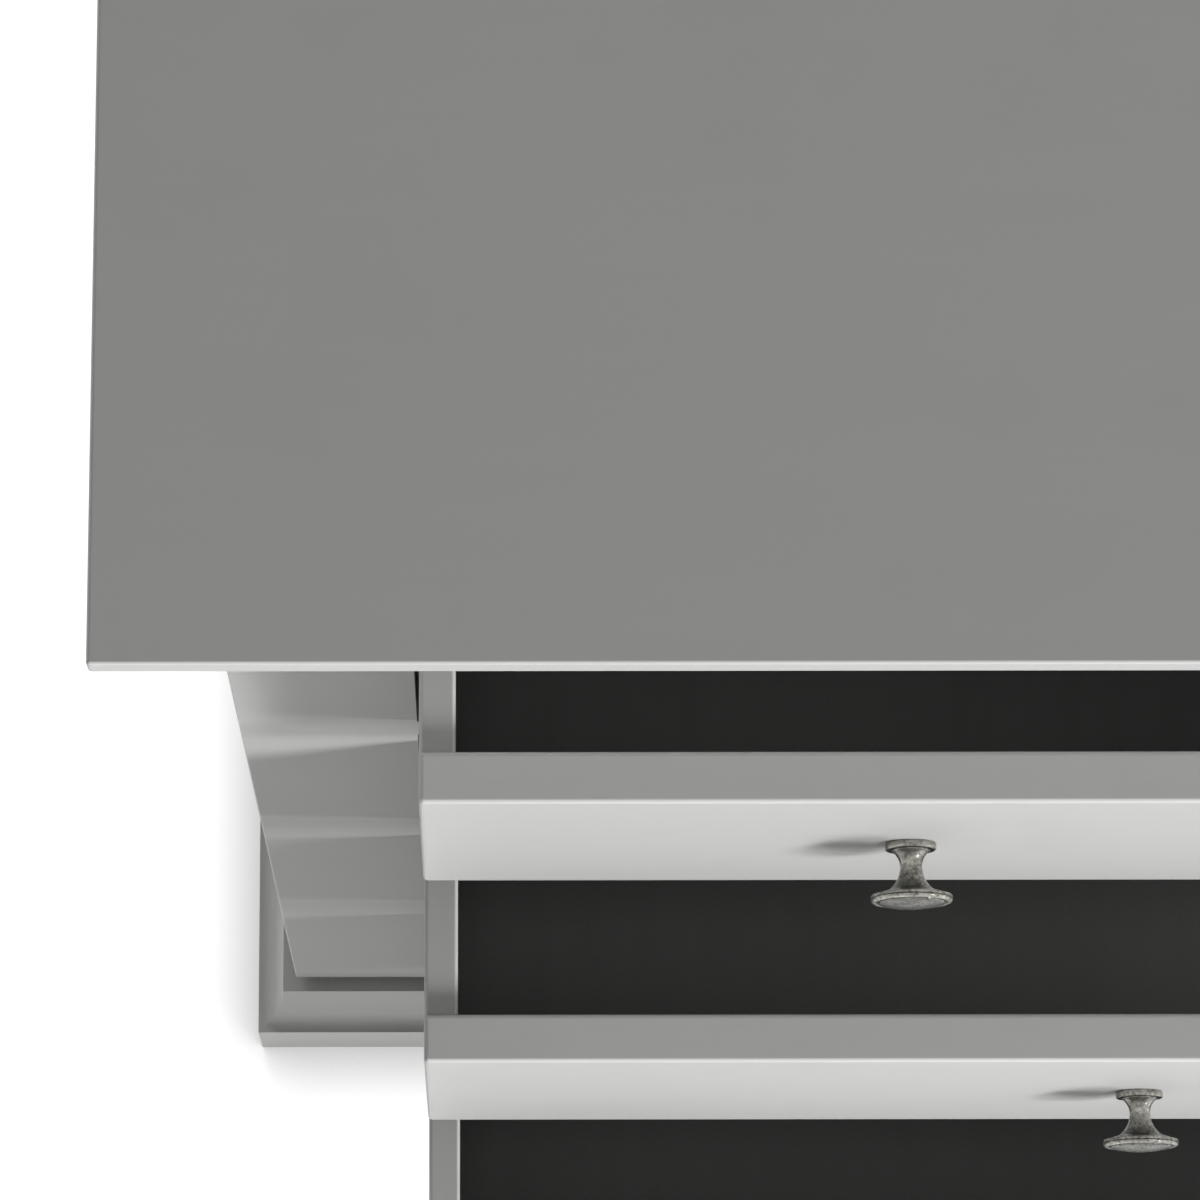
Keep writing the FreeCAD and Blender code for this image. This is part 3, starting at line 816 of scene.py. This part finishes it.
def makeScrewMesh(settings):
    head = bpy.data.objects.new("screwHead", makeScrewPart("head", settings))
    cutter = bpy.data.objects.new("screwSlot", makeSlotMesh(settings))
    for item in (head, cutter):
        bpy.context.scene.collection.objects.link(item)
    cut = head.modifiers.new("slot", "BOOLEAN")
    cut.operation = "DIFFERENCE"
    cut.solver = "EXACT"
    cut.use_self = True
    cut.object = cutter
    bpy.context.view_layer.update()
    mesh = bpy.data.meshes.new_from_object(head.evaluated_get(bpy.context.evaluated_depsgraph_get()))
    for item in (head, cutter):
        bpy.data.objects.remove(item)
    return mesh


def joinMeshes(name, parts):
    built = []
    for mesh, move, material in parts:
        copy = mesh.copy()
        copy.transform(move)
        copy.materials.clear()
        copy.materials.append(material)
        thing = bpy.data.objects.new(name, copy)
        bpy.context.scene.collection.objects.link(thing)
        built.append(thing)
    with bpy.context.temp_override(active_object=built[0], selected_editable_objects=built):
        bpy.ops.object.join()
    built[0].name = name
    return built[0]


def turnFor(number, settings):
    return Matrix.Rotation(math.radians(settings["turnStep"] * number), 4, "Y")


pullMesh = makePullMesh(pullSettings)
screwMesh = makeScrewMesh(screwSettings)
shankMesh = makeScrewPart("shank", screwSettings)
drawers = [name[:-len("_drawer")] for name in frame["bodies"] if name.endswith("_drawer")]
for number, drawer in enumerate(drawers):
    low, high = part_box(f"{drawer}_front")
    face = Vector(((low.x + high.x) / 2, low.y, (low.z + high.z) / 2))
    turn = turnFor(number, pullSettings)
    behind = Matrix.Translation((face.x, high.y, face.z)) @ turn
    pull = joinMeshes(f"{drawer}_pull", [
        (pullMesh, Matrix.Translation(face) @ turn, pewter),
        (screwMesh, behind, steel),
        (shankMesh, behind, steel),
    ])
    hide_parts(f"{drawer}_knob")
    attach(pull, f"{drawer}_drawer")
print("knobs and their screws made")


# back: small screws along its sides and along the rails of the web frames behind the drawers
backSettings = {
    "flatten": (0.75, 0.5, 0.75),
    "columns": 8,
    "edgeInset": 4 * mm,
    "railInset": 60 * mm,
    "railHeight": 12.5 * mm,
    "sideRows": 6,
    "sink": 0.05 * mm,
    "turnStep": 37,
}


def spaced(first, last, count):
    return [first + (last - first) * index / (count - 1) for index in range(count)]


def makeBackScrews(settings):
    low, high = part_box("back_panel")
    inset = settings["railInset"]
    spots = []
    for row in ("top", "second", "third", "bottom"):
        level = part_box(f"{row}_web_frame")[0].z + settings["railHeight"]
        spots += [(x, level) for x in spaced(low.x + inset, high.x - inset, settings["columns"])]
    for x in (low.x + settings["edgeInset"], high.x - settings["edgeInset"]):
        spots += [(x, z) for z in spaced(low.z + inset, high.z - inset, settings["sideRows"])]
    flat = Matrix.Diagonal((*settings["flatten"], 1))
    parts = []
    for number, (x, z) in enumerate(spots):
        place = Matrix.Translation((x, high.y - settings["sink"], z))
        parts.append((screwMesh, place @ turnFor(number, settings) @ flat, steel))
    screws = joinMeshes("back_panel_screws", parts)
    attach(screws, "case")


makeBackScrews(backSettings)
print("screws of the back made")
